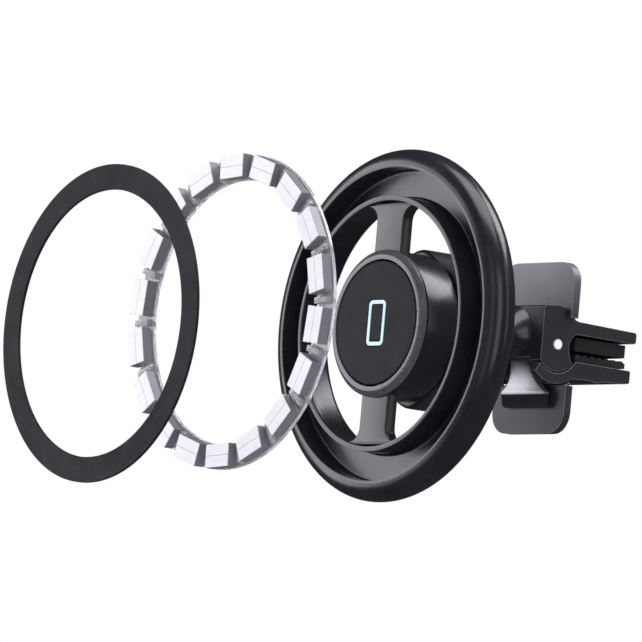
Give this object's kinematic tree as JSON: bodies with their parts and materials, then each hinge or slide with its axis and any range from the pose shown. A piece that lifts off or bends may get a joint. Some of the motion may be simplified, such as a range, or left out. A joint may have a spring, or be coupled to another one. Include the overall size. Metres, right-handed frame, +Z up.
{
  "type": "car phone mount",
  "caption": "Magnetic phone holder ring with spokes and hub on a ball joint with a sprung air-vent clip; the magnet ring and cover ring are drawn forward of their seat.",
  "frame": {"origin": "centre of the hub's front face, the side the phone rests against", "axes": "+Z up along the two spokes, -Y towards the phone, +Y towards the air vent, +X to the right seen from the phone side"},
  "size_m": [0.0634, 0.1147, 0.0673],
  "materials": {
    "gloss_black": "high-gloss moulded black",
    "satin_black": "satin moulded black with light chamfers",
    "matte_black": "fine-textured matte black",
    "rim_grey": "polished dark grey rim",
    "cover_black": "matte charcoal film",
    "plate_grey": "satin dark grey",
    "rubber": "matte black silicone",
    "coated_magnet": "pale coated faces, grey sides",
    "clear_carrier": "clear glossy plastic",
    "pale_blue": "printed pale blue",
    "steel": "zinc plated",
    "light_pin": "light grey pin end",
    "nylon": "natural nylon"
  },
  "bodies": {
    "clip_base": {"vent_clip_body": "satin_black", "stabiliser_plate": "plate_grey", "pivot_pin": "light_pin", "jaw_spring": "steel", "upper_jaw_pad": "rubber"},
    "lower_jaw_body": {"lower_jaw": "satin_black", "lower_jaw_pad": "rubber"},
    "ball": {"swivel_ball": "satin_black"},
    "ball_seat": {"ball_seat_liner": "nylon"},
    "head": {"ring_frame": "gloss_black", "hub_bezel": "rim_grey", "hub_face_disc": "matte_black", "hub_mark": "pale_blue", "hub_centre_magnet": "steel", "hub_yoke_plate": "steel", "ball_socket": "satin_black", "hub_screw_1": "steel", "hub_screw_2": "steel", "hub_screw_3": "steel", "hub_screw_4": "steel"},
    "nut": {"lock_nut": "satin_black"},
    "magnet_ring": {"magnet_carrier": "clear_carrier", "magnet_01": "coated_magnet", "magnet_02": "coated_magnet", "magnet_03": "coated_magnet", "magnet_04": "coated_magnet", "magnet_05": "coated_magnet", "magnet_06": "coated_magnet", "magnet_07": "coated_magnet", "magnet_08": "coated_magnet", "magnet_09": "coated_magnet", "magnet_10": "coated_magnet", "magnet_11": "coated_magnet", "magnet_12": "coated_magnet", "magnet_13": "coated_magnet", "magnet_14": "coated_magnet", "magnet_15": "coated_magnet", "magnet_16": "coated_magnet", "magnet_17": "coated_magnet", "magnet_18": "coated_magnet"},
    "cover": {"cover_ring": "cover_black"}
  },
  "joints": [
    {"name": "lower_jaw_hinge", "type": "hinge", "parent": "clip_base", "child": "lower_jaw_body", "pos_m": [0, 0.035, 0.0003], "axis": [-1, 0, 0], "range_deg": [0, 11], "stiffness_Nm_per_rad": 0.012, "springref_deg": -28.65},
    {"name": "head_spin", "type": "hinge", "parent": "clip_base", "child": "ball", "pos_m": [0, 0.0176, 0], "axis": [0, 1, 0], "continuous": true},
    {"name": "head_tilt", "type": "hinge", "parent": "ball", "child": "ball_seat", "pos_m": [0, 0.0176, 0], "axis": [1, 0, 0], "range_deg": [-15, 15]},
    {"name": "head_pan", "type": "hinge", "parent": "ball_seat", "child": "head", "pos_m": [0, 0.0176, 0], "axis": [0, 0, 1], "range_deg": [-15, 15]},
    {"name": "lock_nut_turn", "type": "hinge", "parent": "head", "child": "nut", "pos_m": [0, 0.0176, 0], "axis": [0, -1, 0], "range_deg": [0, 120]},
    {"name": "magnet_ring_slide", "type": "slide", "parent": "head", "child": "magnet_ring", "axis": [0, 0.9983, 0.058], "range_m": [0, 0.03639]},
    {"name": "cover_ring_slide", "type": "slide", "parent": "magnet_ring", "child": "cover", "axis": [0, 0.9777, 0.21], "range_m": [0, 0.02677]}
  ]
}
